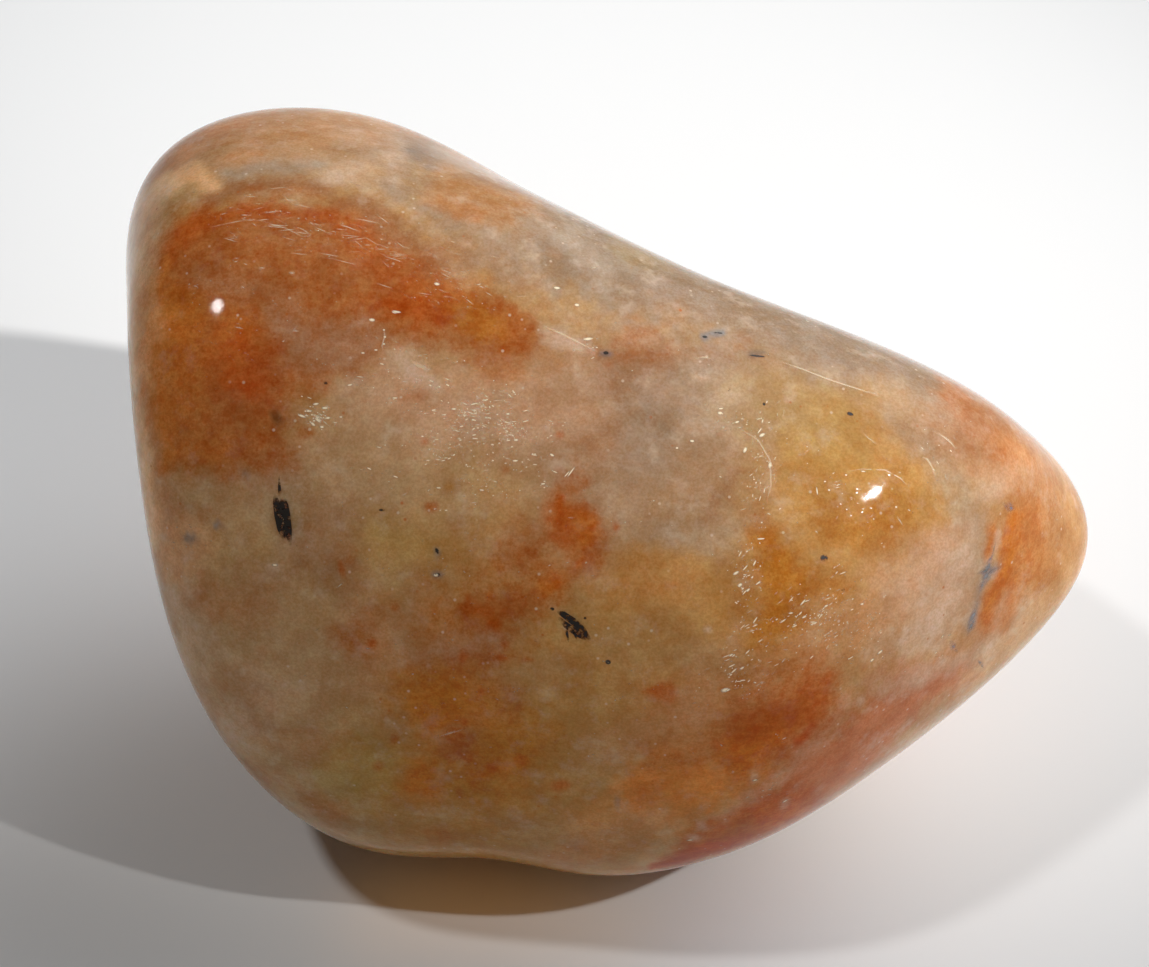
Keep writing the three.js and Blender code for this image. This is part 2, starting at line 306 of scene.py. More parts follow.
# Markings of the seen side, painted in this order: colour, strength in per cent, softness of the edge in
# pixels, place. A place in round brackets is a blob (x, y, half width, half height, turn in degrees if any).
# A list of threes is a band's stations (x, y, half width), and a list of twos is a patch's corners.
seenMarkings = [
    # broad grounds
    ("tan", 90, 40, (310, 130, 200, 50, 3)),
    # the upper right strip painted darker, as painted shade against the bright window glow that falls on it
    ("dusk", 97, 34, [(420, 150, 30), (590, 240, 52), (760, 305, 48), (900, 362, 46), (1000, 415, 36)]),
    ("rose", 85, 60, (640, 440, 140, 110)),
    ("milk", 60, 45, (715, 390, 120, 40, -14)),
    ("pink", 75, 45, (460, 405, 120, 50)),
    ("cream", 85, 50, (350, 490, 110, 55)),
    ("cream", 80, 40, [(150, 490, 30), (170, 560, 30), (190, 650, 24)]),
    ("pale", 60, 24, [(165, 520, 14), (180, 600, 16), (200, 670, 16), (232, 730, 12)]),
    ("cream", 60, 50, (265, 680, 80, 110, -30)),
    ("honey", 80, 60, (620, 690, 170, 110)),
    ("ochre", 75, 60, (500, 790, 150, 90)),
    ("amber", 60, 50, (470, 780, 90, 60)),
    ("orange", 45, 44, (462, 680, 60, 90, 8)),
    ("rust", 30, 40, (500, 600, 70, 34, 20)),
    ("honey", 85, 50, (850, 470, 90, 75, -15)),
    ("ochre", 60, 40, (870, 500, 70, 50, -10)),
    ("honey", 70, 50, (810, 590, 80, 60)),
    ("peach", 80, 45, (850, 635, 90, 40, 10)),
    ("pink", 80, 36, (935, 590, 55, 50, 20)),
    ("flame", 75, 50, (720, 710, 80, 50, 25)),
    ("orange", 30, 36, (730, 745, 110, 44, 22)),
    ("peach", 50, 24, (640, 735, 60, 22, 10)),
    ("peach", 85, 34, [(1000, 430, 20), (1050, 490, 30), (1050, 560, 34), (1000, 620, 30)]),
    ("flame", 40, 24, [(950, 385, 12), (1010, 430, 20), (1050, 470, 16)]),
    # paler left edge, painted light: the glow along the lit rim
    ("peach", 90, 18, [(150, 225, 14), (146, 300, 14), (148, 400, 15), (160, 480, 14), (172, 560, 12)]),
    ("ivory", 80, 9, [
        (140, 210, 6), (134, 250, 7), (132, 320, 7), (134, 400, 7), (144, 480, 10), (156, 540, 8),
    ]),
    # cap of the upper left corner
    ("peach", 60, 24, (320, 128, 80, 20, -4)),
    ("flame", 85, 12, [(152, 178, 8), (172, 155, 11), (205, 138, 12), (245, 128, 8)]),
    ("apricot", 80, 12, [(205, 155, 8), (245, 142, 10), (290, 120, 10), (330, 114, 6)]),
    ("flame", 50, 8, [(222, 172, 3), (236, 160, 6), (262, 152, 4)]),
    ("pink", 50, 9, (250, 138, 9, 14, -30)),
    # painted light along the rim of the cap
    ("ivory", 90, 9, [(140, 205, 8), (160, 186, 12), (195, 176, 10), (218, 188, 6)]),
    ("milk", 80, 8, [(225, 176, 5), (265, 164, 5), (320, 166, 7)]),
    ("pale", 50, 9, [(318, 186, 4), (340, 176, 14), (372, 168, 16), (400, 150, 8), (392, 192, 12)]),
    ("smoke", 40, 6, (412, 150, 9, 5, -10)),
    ("dusk", 40, 18, (355, 146, 26, 18, -10)),
    # orange field under the upper edge
    ("apricot", 75, 20, (485, 192, 62, 24, -26)),
    ("apricot", 65, 7, [
        (400, 204), (425, 198), (440, 180), (470, 182), (540, 210), (536, 220), (512, 230), (470, 228),
        (436, 220),
    ]),
    ("flame", 45, 10, (455, 212, 36, 10, -22)),
    ("milk", 85, 14, [(530, 218, 7), (565, 238, 13), (590, 262, 12), (610, 290, 10)]),
    ("milk", 75, 11, [(390, 186, 8), (420, 206, 6), (470, 232, 7), (530, 262, 8), (560, 290, 7)]),
    ("clay", 35, 16, [(405, 222, 8), (450, 248, 14), (520, 285, 12)]),
    ("olive", 20, 18, (640, 250, 26, 12, -25)),
    ("rose", 60, 20, (505, 272, 52, 18, -30)),
    ("dusk", 30, 18, (500, 262, 34, 16, -25)),
    # brown arcs over the red patch
    ("clay", 90, 6, [(205, 200, 5), (235, 186, 8), (285, 181, 7), (325, 188, 5)]),
    ("rust", 50, 5, [(250, 187, 3), (285, 190, 4), (316, 194, 3)]),
    ("clay", 80, 8, [(330, 204, 6), (372, 206, 9), (398, 222, 7), (425, 244, 5)]),
    # red patch of the left lobe
    ("rust", 90, 18, [
        (150, 300), (158, 255), (178, 222), (215, 206), (270, 203), (330, 210), (385, 226), (425, 250),
        (455, 282), (495, 300), (520, 315), (530, 338), (524, 356), (506, 362), (480, 354), (455, 342),
        (420, 342), (385, 345), (375, 362), (335, 384), (292, 402), (286, 430), (292, 466),
        (262, 476), (205, 474), (168, 462), (158, 430), (152, 370),
    ]),
    ("brick", 70, 9, [
        (160, 262, 9), (182, 232, 11), (215, 214, 9), (262, 210, 7), (320, 217, 6), (372, 236, 5),
    ]),
    ("ember", 30, 10, [(162, 256, 8), (185, 236, 10), (215, 216, 6), (262, 212, 5), (330, 218, 4)]),
    ("brick", 75, 18, (390, 256, 48, 24, -28)),
    ("brick", 60, 16, [(372, 300, 8), (400, 302, 12), (445, 308, 12)]),
    ("ember", 50, 10, [(384, 300, 4), (405, 304, 8), (440, 318, 7)]),
    ("orange", 55, 22, (172, 322, 24, 50)),
    ("clay", 20, 20, (330, 252, 90, 26, -14)),
    ("clay", 70, 18, (410, 242, 60, 16, -28)),
    ("rose", 25, 14, (225, 284, 44, 11, -10)),
    ("rose", 25, 12, (285, 318, 26, 26, 20)),
    ("rose", 45, 20, (335, 345, 46, 26, 20)),
    ("pink", 30, 12, [(280, 330, 5), (320, 352, 8), (365, 350, 8)]),
    ("ember", 70, 22, [
        (205, 316), (240, 320), (268, 350), (284, 388), (262, 408), (228, 396), (208, 362),
    ]),
    ("amber", 25, 16, (200, 318, 60, 16, -10)),
    ("blaze", 60, 12, [(164, 262, 6), (158, 300, 9), (156, 350, 10), (158, 420, 9), (168, 460, 6)]),
    ("blaze", 45, 20, (180, 375, 22, 60)),
    ("blaze", 40, 14, (196, 458, 30, 16)),
    # painted light along the left rim
    ("ivory", 40, 12, [(152, 215, 6), (147, 290, 8), (148, 380, 8)]),
    ("rust", 50, 12, (402, 254, 26, 11, -32)),
    ("blaze", 25, 20, (230, 350, 30, 34)),
    ("rust", 40, 8, (200, 466, 38, 6)),
    ("rust", 80, 7, [(470, 306), (500, 302), (526, 316), (538, 338), (531, 356), (510, 362), (482, 352)]),
    ("amber", 50, 12, (480, 324, 30, 16, -20)),
    ("flame", 50, 10, [(470, 356, 6), (495, 368, 8), (522, 372, 6)]),
    # rose and pale parts between the red patch and the centre
    ("pale", 60, 10, (418, 374, 30, 10, -30)),
    ("pink", 50, 12, (395, 356, 18, 12)),
    ("pale", 90, 5, [(541, 325), (566, 332), (596, 345), (600, 352), (566, 352), (541, 344)]),
    ("clay", 50, 20, (628, 372, 36, 32, 30)),
    ("rust", 40, 9, (640, 334, 26, 6, 6)),
    ("rust", 35, 12, (636, 352, 50, 8, -6)),
    ("apricot", 30, 20, (540, 405, 34, 18)),
    ("dusk", 40, 20, (730, 368, 40, 20, -16)),
    ("milk", 40, 16, (818, 372, 40, 14, -16)),
    ("dusk", 45, 26, (645, 440, 40, 44)),
    # centre
    ("rust", 35, 14, (415, 400, 16, 8)),
    ("cream", 50, 22, (385, 450, 40, 34)),
    ("cream", 40, 14, (505, 545, 22, 12)),
    ("honey", 60, 30, (420, 545, 60, 26)),
    ("olive", 30, 22, (400, 540, 40, 20)),
    ("clay", 50, 6, (452, 484, 12, 5)),
    ("sand", 50, 30, (470, 490, 60, 30)),
    ("milk", 40, 24, (690, 535, 60, 20, 8)),
    ("clay", 50, 7, [(706, 520, 4), (720, 497, 7), (736, 472, 4)]),
    ("rust", 20, 16, (600, 440, 22, 30)),
    # red patch in the middle and its tail
    ("rust", 55, 9, [(560, 470), (580, 462), (592, 480), (580, 496), (562, 490)]),
    ("rust", 90, 12, [
        (560, 484), (574, 490), (590, 504), (600, 526), (598, 548), (588, 572), (572, 566), (552, 548),
        (546, 524), (550, 500),
    ]),
    ("brick", 70, 12, (562, 520, 15, 20, -10)),
    ("orange", 60, 8, (584, 528, 12, 20)),
    ("rust", 75, 14, [(590, 560, 7), (562, 578, 13), (542, 594, 13), (520, 602, 8)]),
    ("orange", 60, 7, (550, 584, 15, 11, 20)),
    ("rust", 60, 18, (523, 560, 22, 18)),
    ("rust", 75, 16, (495, 608, 32, 22, 10)),
    ("brick", 60, 8, [(468, 606, 5), (492, 612, 8), (500, 628, 6)]),
    ("rust", 80, 14, (482, 655, 34, 13)),
    ("orange", 80, 20, (440, 700, 28, 34, 8)),
    ("amber", 60, 20, (430, 690, 40, 26, -10)),
    ("flame", 70, 20, (372, 634, 36, 30)),
    ("rust", 40, 14, (356, 625, 18, 20)),
    ("rust", 85, 5, (456, 744, 19, 18)),
    ("sand", 40, 3, [(436, 734, 1), (452, 725, 2), (470, 728, 1.5), (477, 740, 1)]),
    ("orange", 70, 8, [(478, 780, 5), (500, 766, 8), (525, 762, 6)]),
    ("orange", 70, 12, (420, 782, 20, 26, 20)),
    ("amber", 50, 20, (520, 735, 34, 30)),
    ("rust", 50, 10, (512, 700, 14, 20)),
    ("brick", 50, 8, (438, 832, 14, 6)),
    ("olive", 40, 20, (360, 770, 44, 30, 20)),
    ("sand", 60, 18, (430, 815, 40, 10)),
    ("flame", 60, 14, (325, 812, 22, 12, -20)),
    ("sand", 60, 16, (540, 670, 40, 16, 10)),
    ("pale", 25, 14, (470, 640, 50, 10, 8)),
    # left of the lower front
    # painted light near the left rim
    ("ivory", 40, 18, (188, 550, 20, 34)),
    ("clay", 35, 14, (298, 545, 16, 26)),
    ("flame", 50, 14, (204, 592, 16, 18)),
    ("flame", 45, 16, (240, 612, 30, 16)),
    ("tan", 40, 26, [(285, 470, 12), (300, 540, 22), (335, 570, 26), (350, 600, 16)]),
    ("clay", 50, 24, (330, 540, 34, 44)),
    ("apricot", 65, 18, (266, 595, 22, 40)),
    ("apricot", 30, 18, (300, 500, 26, 34)),
    ("flame", 30, 20, (240, 700, 30, 20, -40)),
    ("pale", 30, 24, (246, 704, 22, 44, -35)),
    ("cream", 40, 18, (402, 622, 24, 16)),
    ("cream", 30, 18, (750, 502, 20, 20)),
    ("cream", 35, 20, (545, 824, 56, 14, 4)),
    # round grain right of the centre
    ("honey", 80, 10, (668, 602, 66, 54, -8)),
    ("sand", 50, 16, (655, 640, 54, 30)),
    ("flame", 35, 20, (650, 582, 40, 14)),
    ("brick", 80, 4, [(642, 694), (655, 686), (672, 684), (678, 696), (674, 707), (660, 700)]),
    ("peach", 60, 16, (700, 700, 30, 22, 20)),
    # yellow zone and amber patch of the right lobe
    ("amber", 50, 24, (866, 528, 46, 22, 10)),
    ("olive", 45, 34, (800, 415, 70, 34, -12)),
    ("sand", 40, 30, (860, 430, 60, 20, -12)),
    ("cream", 45, 26, (755, 400, 46, 30, -20)),
    ("pale", 35, 9, [(716, 400, 4), (745, 405, 7), (762, 425, 7), (770, 455, 6), (768, 490, 5)]),
    ("pale", 30, 8, [(700, 430, 3), (722, 425, 5), (735, 445, 5), (730, 475, 4)]),
    ("amber", 90, 18, [(772, 545, 14), (786, 575, 24), (776, 615, 20), (752, 645, 8)]),
    ("amber", 50, 16, (820, 590, 26, 14, 10)),
    ("milk", 60, 14, [(890, 412, 8), (930, 440, 13), (958, 480, 14), (970, 530, 16), (960, 575, 14)]),
    ("pale", 40, 16, (964, 545, 18, 34)),
    ("pink", 85, 16, [(945, 545, 16), (950, 590, 22), (935, 620, 20)]),
    ("pale", 50, 14, [(955, 560, 8), (955, 600, 12), (930, 630, 12), (880, 650, 10)]),
    # right end
    ("rust", 50, 14, [(945, 396, 8), (970, 412, 14), (992, 432, 12), (1003, 452, 8)]),
    ("clay", 60, 12, (985, 428, 18, 24, -40)),
    ("pink", 50, 14, [(955, 440, 6), (985, 470, 14), (1015, 480, 16), (1040, 470, 10)]),
    ("clay", 40, 22, (962, 438, 54, 24, -34)),
    ("pale", 60, 12, (992, 492, 16, 16)),
    ("flame", 75, 26, (1034, 550, 30, 50, 10)),
    ("orange", 35, 24, (1028, 555, 20, 34, 10)),
    ("clay", 80, 20, [(1000, 410, 6), (1045, 445, 12), (1070, 500, 17), (1076, 535, 9)]),
    # painted light along the lower right rim
    ("ivory", 85, 12, [(1084, 562, 4), (1070, 590, 11), (1034, 624, 12), (994, 662, 9), (960, 690, 3)]),
    ("pink", 70, 18, (1004, 628, 36, 26, 40)),
    ("orange", 90, 8, [(1012, 522, 6), (1008, 548, 8), (1004, 575, 12), (992, 600, 9), (984, 624, 6)]),
    ("orange", 85, 5, [(992, 528, 3), (987, 558, 4)]),
    ("orange", 70, 6, [(1018, 584, 4), (1010, 608, 5), (1002, 628, 4)]),
    ("pale", 50, 3, [(997, 530, 1.5), (995, 548, 2), (986, 564, 1.5)]),
    ("pale", 50, 4, [(940, 438, 1), (952, 446, 2), (962, 456, 1)]),
    ("slate", 45, 5, [(994, 566, 4), (986, 574, 5), (980, 586, 2), (972, 620, 4), (970, 630, 2)]),
    # lower right
    ("cream", 40, 20, (712, 660, 40, 18)),
    ("cream", 20, 30, (640, 772, 90, 36, 8)),
    ("blush", 90, 18, [(960, 668, 14), (910, 690, 28), (860, 742, 34), (790, 800, 34), (720, 838, 20)]),
    ("pale", 60, 12, [(990, 650, 12), (945, 666, 8), (880, 684, 6)]),
    ("pink", 45, 7, [(850, 700, 4), (820, 740, 6), (775, 782, 6), (720, 815, 5)]),
    ("brick", 90, 22, [
        (715, 745), (735, 715), (770, 690), (800, 668), (832, 662), (838, 692), (825, 728), (790, 758),
        (735, 772),
    ]),
    ("blaze", 35, 16, (735, 775, 44, 22, 20)),
    ("peach", 40, 14, (758, 696, 22, 10, 25)),
    ("orange", 60, 14, (752, 745, 34, 16, 20)),
    ("ember", 70, 4, [(797, 746, 2), (804, 738, 4), (814, 724, 3)]),
    ("blaze", 75, 22, (668, 780, 54, 26, 6)),
    ("rust", 50, 10, (668, 764, 28, 8)),
    ("brick", 40, 12, (640, 796, 16, 12)),
    ("flame", 50, 12, [(648, 742, 4), (690, 740, 5), (730, 720, 4)]),
    ("brick", 90, 14, [(812, 796, 12), (752, 830, 24), (694, 846, 20)]),
    ("rust", 85, 10, [(742, 824, 9), (706, 842, 11), (672, 860, 7)]),
    ("ember", 40, 8, [(730, 842, 3), (700, 856, 4), (668, 870, 3)]),
    ("cream", 60, 16, (636, 824, 36, 14, 10)),
    ("cream", 35, 16, (580, 842, 50, 10)),
    ("peach", 50, 14, (960, 648, 24, 12, 30)),
    ("ember", 95, 5, [(652, 868, 3), (680, 859, 6), (706, 848, 4), (730, 846, 3)]),
    ("blaze", 40, 18, (628, 818, 66, 24, 6)),
    ("flame", 60, 16, (590, 852, 50, 12)),
    ("ember", 60, 7, [(655, 866, 4), (684, 857, 9), (716, 846, 9), (745, 834, 4)]),
]
# Small marks by colour, each a blob
seenSpots = {
    "smoke": [(408, 150, 5, 3), (432, 168, 6, 3), (757, 355, 9, 3), (246, 475, 3, 3), (617, 802, 1.5, 5)],
    "clay": [(466, 243, 4, 2)],
    "slate": [
        (606, 353, 6, 3), (716, 333, 9, 3, 6), (704, 337, 4, 4), (437, 575, 5, 3), (437, 552, 2, 4, 20),
        (190, 538, 7, 5), (217, 524, 5, 3),
    ],
    "brick": [
        (343, 570, 3, 7, 10), (432, 507, 6, 4, -10), (560, 786, 10, 5), (615, 527, 3, 3), (373, 642, 5, 5),
        (395, 608, 3, 3), (425, 441, 3, 3), (469, 599, 4, 5), (494, 622, 6, 5), (489, 595, 3, 4),
        (464, 656, 4, 4), (504, 657, 5, 3), (530, 659, 5, 2), (506, 643, 3, 3), (470, 760, 4, 3),
        (521, 760, 6, 5), (492, 768, 4, 3), (481, 689, 3, 5), (464, 722, 3, 4), (562, 500, 3, 7, -10),
        (579, 563, 3, 6, -30), (557, 583, 5, 3, 20), (592, 526, 2, 3), (560, 434, 3, 3),
    ],
    "rust": [
        (519, 628, 4, 3), (506, 470, 4, 3), (351, 562, 5, 3, 20), (379, 766, 4, 4), (393, 738, 4, 6, -20),
        (461, 794, 4, 3), (538, 566, 6, 4), (530, 552, 5, 3), (305, 431, 8, 6), (776, 790, 4, 3),
    ],
    "ochre": [(449, 486, 5, 3)],
    "umber": [(276, 418, 4, 8, 30)],
    "ember": [(240, 340, 6, 10)],
    "olive": [(355, 786, 4, 6)],
    "pale": [
        (272, 566, 6, 4), (700, 378, 8, 3, -5), (790, 400, 5, 3), (552, 285, 4, 3), (466, 244, 5, 3),
        (708, 629, 4, 3), (754, 778, 3, 4), (786, 803, 3, 5, -20), (692, 838, 5, 3), (943, 660, 4, 3),
        (905, 628, 4, 3), (700, 826, 3, 3), (860, 700, 3, 5, -30),
    ],
    "cream": [(640, 756, 5, 2)],
}


tiny = 1e-6  # keeps divisors off zero


def towardsBlob(x, y, place):
    left, top, halfWidth, halfHeight, turn = (*place, 0)[:5]
    bend = math.radians(turn)
    across = (x - left) * math.cos(bend) - (y - top) * math.sin(bend)
    down = (x - left) * math.sin(bend) + (y - top) * math.cos(bend)
    reach = np.hypot(across / halfWidth, down / halfHeight) + tiny
    slope = np.hypot(across / halfWidth**2, down / halfHeight**2) / reach + tiny
    return (reach - 1) / slope


def towardsStretch(x, y, start, end):
    (x0, y0), (x1, y1) = start[:2], end[:2]
    along = ((x - x0) * (x1 - x0) + (y - y0) * (y1 - y0)) / ((x1 - x0) ** 2 + (y1 - y0) ** 2)
    along = np.clip(along, 0, 1)
    return along, np.hypot(x - x0 - along * (x1 - x0), y - y0 - along * (y1 - y0))


def towardsBand(x, y, stations):
    nearest = np.full(len(x), np.inf)
    for start, end in zip(stations, stations[1:]):
        along, away = towardsStretch(x, y, start, end)
        nearest = np.minimum(nearest, away - start[2] - along * (end[2] - start[2]))
    return nearest


def towardsPatch(x, y, corners):
    nearest = np.full(len(x), np.inf)
    inside = np.zeros(len(x), bool)
    for start, end in zip(corners, corners[1:] + corners[:1]):
        nearest = np.minimum(nearest, towardsStretch(x, y, start, end)[1])
        (x0, y0), (x1, y1) = start, end
        crossed = (y0 > y) != (y1 > y)
        inside ^= crossed & (x < (x1 - x0) * (y - y0) / (y1 - y0 + tiny) + x0)
    return np.where(inside, -nearest, nearest)


def towardsMarking(x, y, place):
    if isinstance(place, tuple):
        return towardsBlob(x, y, place)
    return towardsBand(x, y, place) if len(place[0]) == 3 else towardsPatch(x, y, place)


# The whole skin starts as a cloudy mix, strong on the hidden side and faint under the seen side's markings.
# A lean is how far the skin faces the viewer, from -1 to 1, and a waver is (size in mm, height).
cloudLook = {
    "clouds": [  # colour, size of its clouds in mm, where they start and are full, strength
        ("cream", 4.2, 0.0, 0.5, 0.8),
        ("rose", 3.4, 0.0, 0.45, 0.8),
        ("honey", 5.2, 0.1, 0.5, 0.9),
        ("pink", 2.6, 0.2, 0.5, 0.7),
        ("flame", 3.8, 0.2, 0.5, 0.85),
        ("rust", 4.6, 0.26, 0.44, 0.95),
        ("brick", 2.9, 0.36, 0.5, 0.9),
        ("amber", 3.3, 0.36, 0.5, 0.8),
    ],
    "fineShare": 0.35,  # of clouds a third of that size, added to each
    "onSeenSide": 0.3,
    "hiddenLeans": (0.15, -0.15),  # where the hidden side's full strength starts and is reached
}
markingLook = {
    "leans": (-0.3, 0.0), "leanWaver": (2.2, 0.12),  # where the markings start and are full
    "sways": [(2.4, 8.0), (0.8, 4.5), (0.3, 3.0)],  # wavers of the ragged edges, in pixels
    "fullSway": 10, "mostSway": 1.5,  # the softness at which an edge sways in full, and the most it sways
    "mottles": [(0.42, 1.0), (0.2, 0.6)], "mottleShare": 0.35,  # wavers of the grain in the edges
    "depthMargin": 2, "depthFade": 1.5,  # mm beyond a marking's own size, and where it ends, in that reach
}
spotLook = {"strength": 0.65, "edge": (3.5, -3), "depth": 3, "sway": 0.3}
# Painted light: a warm glow painted round the rim, where light comes through the thin edge
paintedRimGlowLook = {  # a warm tone round the rim, strongest to the right and at the top
    "inner": (0.32, 0.1), "outer": (-0.15, 0.05), "outerWaver": (3.0, 0.15),
    "amber": {"strength": 0.8, "right": (-0.75, 0.1), "up": (0, 0.35)},
    "honey": {"strength": 0.6, "right": (0.5, 0.9), "up": (-3, -2)},
}
skin = np.tile(palette["sand"], (len(points), 1))


def paint(colour, share):
    skin[:] += share[:, None] * (np.array(palette[colour]) - skin)


def wavering(waver, seed):
    size, rise = waver
    return rise * noise(points, size, seed)


pixelX, pixelY, pixelDepth = pixelOf(points)
outwards = unit(points)
lean = outwards @ towardsViewer
least = cloudLook["onSeenSide"]
cloudStrength = least + (1 - least) * smoothStep(*cloudLook["hiddenLeans"], lean)
for order, (colour, size, start, full, strength) in enumerate(cloudLook["clouds"]):
    cloud = noise(points, size, order + 5) + cloudLook["fineShare"] * noise(points, size / 3, order + 25)
    paint(colour, strength * smoothStep(start, full, cloud) * cloudStrength)

onSeenSide = smoothStep(*markingLook["leans"], lean + wavering(markingLook["leanWaver"], 80))
swayX, swayY = (sum(wavering(sway, seed) for sway in markingLook["sways"]) for seed in (50, 60))
mottle = sum(wavering(grain, 70 + order) for order, grain in enumerate(markingLook["mottles"]))


def swayed(share):
    return pixelX + share * swayX, pixelY + share * swayY


def depthsUnder(places):
    return surfaceUnder(*zip(*(place[:2] for place in places))) @ towardsViewer


def middleOf(place):
    if isinstance(place, tuple):
        return place[0], place[1], max(place[2], place[3])
    across, down = zip(*(spot[:2] for spot in place))
    size = max(max(across) - min(across), max(down) - min(down))
    return (max(across) + min(across)) / 2, (max(down) + min(down)) / 2, size / 2


middles = [middleOf(place) for *_, place in seenMarkings]
for (colour, strength, softness, place), middle, depth in zip(seenMarkings, middles, depthsUnder(middles)):
    sway = min(markingLook["mostSway"], softness / markingLook["fullSway"])
    away = towardsMarking(*swayed(sway), place) + markingLook["mottleShare"] * softness * mottle
    reach = 2 * middle[2] / view["pixelsPerMm"] + markingLook["depthMargin"]
    seen = smoothStep(markingLook["depthFade"] * reach, reach, np.abs(pixelDepth - depth))
    paint(colour, strength / 100 * smoothStep(softness, -softness, away) * seen * onSeenSide)
for colour, spots in seenSpots.items():
    for spot, depth in zip(spots, depthsUnder(spots)):
        away = towardsBlob(*swayed(spotLook["sway"]), spot)
        near = np.abs(pixelDepth - depth) < spotLook["depth"]
        paint(colour, spotLook["strength"] * smoothStep(*spotLook["edge"], away) * near)

# the painted rim glow, strongest where the skin turns away from the viewer
outerLean = lean + wavering(paintedRimGlowLook["outerWaver"], 81)
rim = smoothStep(*paintedRimGlowLook["inner"], lean) * smoothStep(*paintedRimGlowLook["outer"], outerLean)
for colour in ("amber", "honey"):
    look = paintedRimGlowLook[colour]
    share = smoothStep(*look["right"], outwards @ viewRight) * smoothStep(*look["up"], outwards @ viewUp)
    paint(colour, look["strength"] * rim * share)
print("skin painted with", len(seenMarkings), "markings and", sum(map(len, seenSpots.values())), "spots")

# The stone's material. A noise is (features in a millimetre, detail, roughness, stretch if any), and a span
# says where it starts and is full.
stoneLook = {
    "tints": [  # noise, span, share on clean skin and added on rusty skin, dark tint, light tint
        ((0.8, 3, 0.55), (0.35, 0.65), (1, 0), (0.90, 0.86, 0.80, 1), (1.09, 1.13, 1.19, 1)),  # haze
        ((13, 2, 0.6), (0.35, 0.65), (1, 0), (0.93, 0.90, 0.86, 1), (1.06, 1.07, 1.09, 1)),  # speckle
        ((1, 3, 0.6, (1.3, 5.5, 5.5)), (0.4, 0.68), (0.12, 0.9), (0.97, 0.93, 0.88, 1),
         (1.06, 1.13, 1.22, 1)),  # streaks from left to right
        ((3.6, 5, 0.76), (0.4, 0.62), (0.18, 0.75), (1.05, 1.20, 1.40, 1), (0.90, 0.67, 0.46, 1)),  # grain
    ],
    "wisps": ((1.3, 5, 0.68), (0.5, 0.76), 0.4, (0.76, 0.60, 0.46, 1)),  # noise, span, strength, colour
    "dots": [  # in a millimetre, radii, noise and span of where they gather, strength, only in rust, colour
        (5.5, (0.10, 0.32), (1.4, 3, 0.6), (0.44, 0.62), 0.75, True, (0.40, 0.075, 0.006, 1)),  # grit
        (1.7, (0.04, 0.11), (0.45, 2, 0.5), (0.48, 0.6), 0.7, False, (0.50, 0.13, 0.02, 1)),  # rusty dots
        (2.3, (0.05, 0.14), (0.6, 2, 0.5), (0.46, 0.6), 0.6, False, (0.76, 0.62, 0.48, 1)),  # pale dots
    ],
    "polish": ((2.2, 2, 0.6), (0.35, 0.7), (0.05, 0.10)),  # noise, span, roughness
    "sharpness": 1.18,  # index of refraction of the polished skin
    "glow": (1.6, 0.75, 0.4),  # how far red, green and blue light travel inside, in mm
    "waves": ((3.0, 3, 0.6), 0.0000012),  # noise, height in metres
}
stoneMaterial, tree, shader = newMaterial("milky sunstone")
place = addNode(tree, "TexCoord").outputs["Object"]
perMm = addNode(tree, "VectorMath", {0: place, "Scale": 1 / mm}, operation="SCALE").outputs["Vector"]


def noiseNode(scale, detail, roughness, stretch=None):
    where = perMm
    if stretch:
        where = addNode(tree, "VectorMath", {0: perMm, 1: stretch}, operation="MULTIPLY").outputs["Vector"]
    inputs = {"Vector": where, "Scale": scale, "Detail": detail, "Roughness": roughness}
    return addNode(tree, "TexNoise", inputs).outputs["Fac"]


def mapped(value, low, high, outLow, outHigh):
    inputs = {"Value": value, 1: low, 2: high, 3: outLow, 4: outHigh}
    return addNode(tree, "MapRange", inputs, interpolation_type="SMOOTHSTEP").outputs["Result"]


def mixed(factor, first, second, blend="MIX"):
    inputs = {0: factor, 6: first, 7: second}
    return addNode(tree, "Mix", inputs, data_type="RGBA", blend_type=blend).outputs[2]


skinNode = addNode(tree, "Attribute", attribute_name="skin")
tone, stain = skinNode.outputs["Color"], skinNode.outputs["Alpha"]  # stain says how rusty the skin is
for noiseLook, span, (clean, rusty), dark, light in stoneLook["tints"]:
    tint = mixed(mapped(noiseNode(*noiseLook), *span, 0, 1), dark, light)
    tone = mixed(maths(tree, "MULTIPLY_ADD", stain, rusty, clean), tone, tint, "MULTIPLY")
noiseLook, span, strength, colour = stoneLook["wisps"]
wisps = mapped(noiseNode(*noiseLook), *span, 0, strength)
tone = mixed(maths(tree, "MULTIPLY", wisps, maths(tree, "SUBTRACT", 1, stain)), tone, colour)
for scale, radii, noiseLook, span, strength, onlyInRust, colour in stoneLook["dots"]:
    places = mapped(noiseNode(*noiseLook), *span, 0, strength)
    if onlyInRust:
        places = maths(tree, "MULTIPLY", places, stain)
    cells = addNode(tree, "TexVoronoi", {"Vector": perMm, "Scale": scale}).outputs["Distance"]
    tone = mixed(maths(tree, "MULTIPLY", mapped(cells, *radii, 1, 0), places), tone, colour)
noiseLook, span, roughness = stoneLook["polish"]
tree.links.new(tone, shader.inputs["Base Color"])
tree.links.new(mapped(noiseNode(*noiseLook), *span, *roughness), shader.inputs["Roughness"])
shader.inputs["IOR"].default_value = stoneLook["sharpness"]
shader.inputs["Subsurface Weight"].default_value = 1
shader.inputs["Subsurface Radius"].default_value = stoneLook["glow"]
shader.inputs["Subsurface Scale"].default_value = mm
noiseLook, rise = stoneLook["waves"]
waves = addNode(tree, "Bump", {"Height": noiseNode(*noiseLook), "Strength": 1, "Distance": rise})
tree.links.new(waves.outputs["Normal"], shader.inputs["Normal"])

